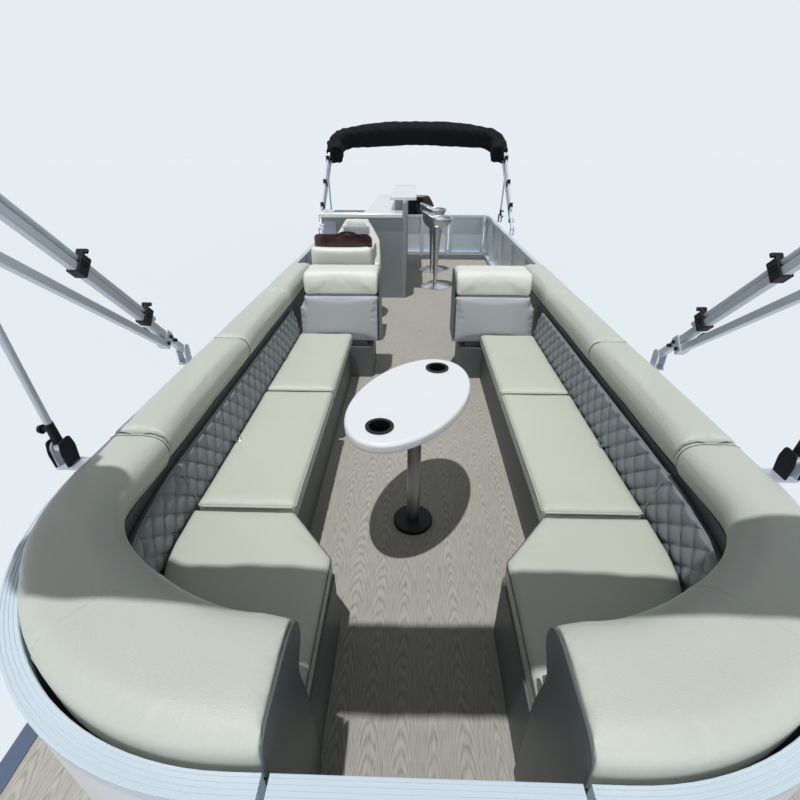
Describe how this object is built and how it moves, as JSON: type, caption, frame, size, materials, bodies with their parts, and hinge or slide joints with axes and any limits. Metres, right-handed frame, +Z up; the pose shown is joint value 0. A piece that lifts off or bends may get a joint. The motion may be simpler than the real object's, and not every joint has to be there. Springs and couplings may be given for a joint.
{
  "type": "pontoon boat",
  "caption": "Pontoon boat with a horseshoe lounge, oval table, helm, stern bar with stools, folded bimini tops and a steered outboard motor.",
  "frame": {"origin": "on the centreline at the waterline, amidships", "axes": "+X to port, +Y aft, +Z up"},
  "size_m": [2.59, 9.4241, 3.3173],
  "materials": {
    "hull_aluminium": "brushed welded sheet",
    "frame_aluminium": "mill finish",
    "deck_covering": "woven vinyl printed as planks",
    "deck_trim": "dark blue anodised",
    "rail_white": "gloss white powder coat",
    "panel_white": "gloss sheet",
    "moulded_grey": "grained moulding",
    "vinyl_beige": "marine vinyl",
    "vinyl_cream": "marine vinyl",
    "vinyl_grey": "marine vinyl",
    "vinyl_quilt": "diamond quilted vinyl",
    "table_white": "gloss moulding",
    "post_metal": "satin",
    "black_plastic": "moulded",
    "console_grey": "gelcoat",
    "screen_tint": "tinted acrylic",
    "bar_grey": "laminate",
    "counter_white": "solid surface",
    "stool_silver": "polished silver",
    "top_tube": "anodised",
    "boot_canvas": "acrylic canvas",
    "bracket_black": "satin",
    "cowl_black": "gloss",
    "propeller_metal": "satin"
  },
  "bodies": {
    "boat": {"pontoons": "hull_aluminium", "risers": "frame_aluminium", "cross_members": "frame_aluminium", "deck": "deck_covering", "deck_trim": "deck_trim", "motor_pod": "hull_aluminium", "fence_port": "rail_white", "fence_starboard": "rail_white", "fence_stern": "rail_white", "fence_panels": "panel_white", "bench_bases": "moulded_grey", "seats_bow": "vinyl_beige", "backrest_frames": "moulded_grey", "quilted_backs": "vinyl_quilt", "bolsters": "vinyl_beige", "recliner_bases": "moulded_grey", "recliner_backs": "vinyl_grey", "recliner_pillows": "vinyl_cream", "table_foot": "black_plastic", "table_post": "post_metal", "table_top": "table_white", "cup_holders": "black_plastic", "console": "console_grey", "windscreen": "screen_tint", "chair_pedestal": "post_metal", "bar_cabinet": "bar_grey", "bar_board": "bar_grey", "bar_counter": "counter_white", "bar_raised_top": "counter_white", "stool_stands": "stool_silver", "bimini_mounts": "black_plastic", "clamp_bracket": "bracket_black"},
    "bow_gate": {"bow_gate": "rail_white"},
    "stern_gate": {"stern_gate": "rail_white"},
    "seat_mid_port": {"seat_mid_port": "vinyl_beige"},
    "seat_mid_starboard": {"seat_mid_starboard": "vinyl_beige"},
    "seat_aft_port": {"seat_aft_port": "vinyl_beige"},
    "seat_aft_starboard": {"seat_aft_starboard": "vinyl_beige"},
    "steering_wheel": {"steering_wheel": "black_plastic"},
    "chair": {"chair_seat": "vinyl_grey", "chair_back": "vinyl_cream"},
    "stool_column_forward": {"stool_column_forward": "stool_silver"},
    "stool_seat_forward": {"stool_seat_forward": "stool_silver"},
    "stool_column_aft": {"stool_column_aft": "stool_silver"},
    "stool_seat_aft": {"stool_seat_aft": "stool_silver"},
    "bimini_front": {"bimini_front_frame": "top_tube", "bimini_front_boot": "boot_canvas"},
    "bimini_front_struts": {"bimini_front_struts": "top_tube"},
    "bimini_aft": {"bimini_aft_frame": "top_tube", "bimini_aft_boot": "boot_canvas"},
    "bimini_aft_struts": {"bimini_aft_struts": "top_tube"},
    "motor_tilt": {"swivel_bracket": "bracket_black"},
    "motor": {"outboard_leg": "cowl_black", "cowl": "cowl_black"},
    "propeller": {"propeller": "propeller_metal"}
  },
  "joints": [
    {"name": "bow_gate_hinge", "type": "hinge", "parent": "boat", "child": "bow_gate", "pos_m": [0.2925, -3.862, 0.88], "axis": [0, 0, 1], "range_deg": [-90, 0]},
    {"name": "stern_gate_hinge", "type": "hinge", "parent": "boat", "child": "stern_gate", "pos_m": [1.1625, 3.716, 0.88], "axis": [0, 0, 1], "range_deg": [0, 90]},
    {"name": "seat_mid_port_lid", "type": "hinge", "parent": "boat", "child": "seat_mid_port", "pos_m": [0.524, -2.4043, 0.833], "axis": [0, -1, 0], "range_deg": [0, 75]},
    {"name": "seat_aft_port_lid", "type": "hinge", "parent": "boat", "child": "seat_aft_port", "pos_m": [0.524, -1.43375, 0.833], "axis": [0, -1, 0], "range_deg": [0, 75]},
    {"name": "seat_mid_starboard_lid", "type": "hinge", "parent": "boat", "child": "seat_mid_starboard", "pos_m": [-0.524, -2.4043, 0.833], "axis": [0, 1, 0], "range_deg": [0, 75]},
    {"name": "seat_aft_starboard_lid", "type": "hinge", "parent": "boat", "child": "seat_aft_starboard", "pos_m": [-0.524, -1.43375, 0.833], "axis": [0, 1, 0], "range_deg": [0, 75]},
    {"name": "chair_swivel", "type": "hinge", "parent": "boat", "child": "chair", "pos_m": [-0.63, 0.59, 0.93], "axis": [0, 0, 1], "continuous": true},
    {"name": "motor_tilt", "type": "hinge", "parent": "boat", "child": "motor_tilt", "pos_m": [0, 4.59, 0.612], "axis": [1, 0, 0], "range_deg": [0, 70]},
    {"name": "motor_steer", "type": "hinge", "parent": "motor_tilt", "child": "motor", "pos_m": [0, 4.665, 0.4], "axis": [0, 0, 1], "range_deg": [-5, 65]},
    {"name": "propeller_spin", "type": "hinge", "parent": "motor", "child": "propeller", "pos_m": [0.225, 5.05471, -0.33], "axis": [0.5, 0.866, 0], "continuous": true},
    {"name": "steering_wheel_turn", "type": "hinge", "parent": "boat", "child": "steering_wheel", "pos_m": [-0.66, 0.236, 1.33], "axis": [0, 0.9397, 0.342], "range_deg": [-990, 90]},
    {"name": "stool_lift_forward", "type": "slide", "parent": "boat", "child": "stool_column_forward", "axis": [0, 0, 1], "range_m": [-0.12, 0.06]},
    {"name": "stool_swivel_forward", "type": "hinge", "parent": "stool_column_forward", "child": "stool_seat_forward", "pos_m": [0.272, 1.82, 1.272], "axis": [0, 0, 1], "continuous": true},
    {"name": "stool_lift_aft", "type": "slide", "parent": "boat", "child": "stool_column_aft", "axis": [0, 0, 1], "range_m": [-0.12, 0.06]},
    {"name": "stool_swivel_aft", "type": "hinge", "parent": "stool_column_aft", "child": "stool_seat_aft", "pos_m": [0.254, 2.722, 1.272], "axis": [0, 0, 1], "continuous": true},
    {"name": "bimini_front_hinge", "type": "hinge", "parent": "boat", "child": "bimini_front", "pos_m": [0, -2.108, 1.27], "axis": [1, 0, 0], "range_deg": [-60, 0]},
    {"name": "bimini_front_strut_fold", "type": "hinge", "parent": "bimini_front", "child": "bimini_front_struts", "pos_m": [0, -3.03431, 2.19631], "axis": [1, 0, 0], "range_deg": [0, 40.45]},
    {"name": "bimini_aft_hinge", "type": "hinge", "parent": "boat", "child": "bimini_aft", "pos_m": [0, 1.839, 1.27], "axis": [1, 0, 0], "range_deg": [0, 60]},
    {"name": "bimini_aft_strut_fold", "type": "hinge", "parent": "bimini_aft", "child": "bimini_aft_struts", "pos_m": [0, 2.87129, 2.07652], "axis": [1, 0, 0], "range_deg": [-57.22, 0]}
  ],
  "couplings": [
    {"joint": "steering_wheel_turn", "follows": "motor_steer", "ratio": -15},
    {"joint": "bimini_front_strut_fold", "follows": "bimini_front_hinge", "ratio": -0.661},
    {"joint": "bimini_aft_strut_fold", "follows": "bimini_aft_hinge", "ratio": -0.935}
  ]
}
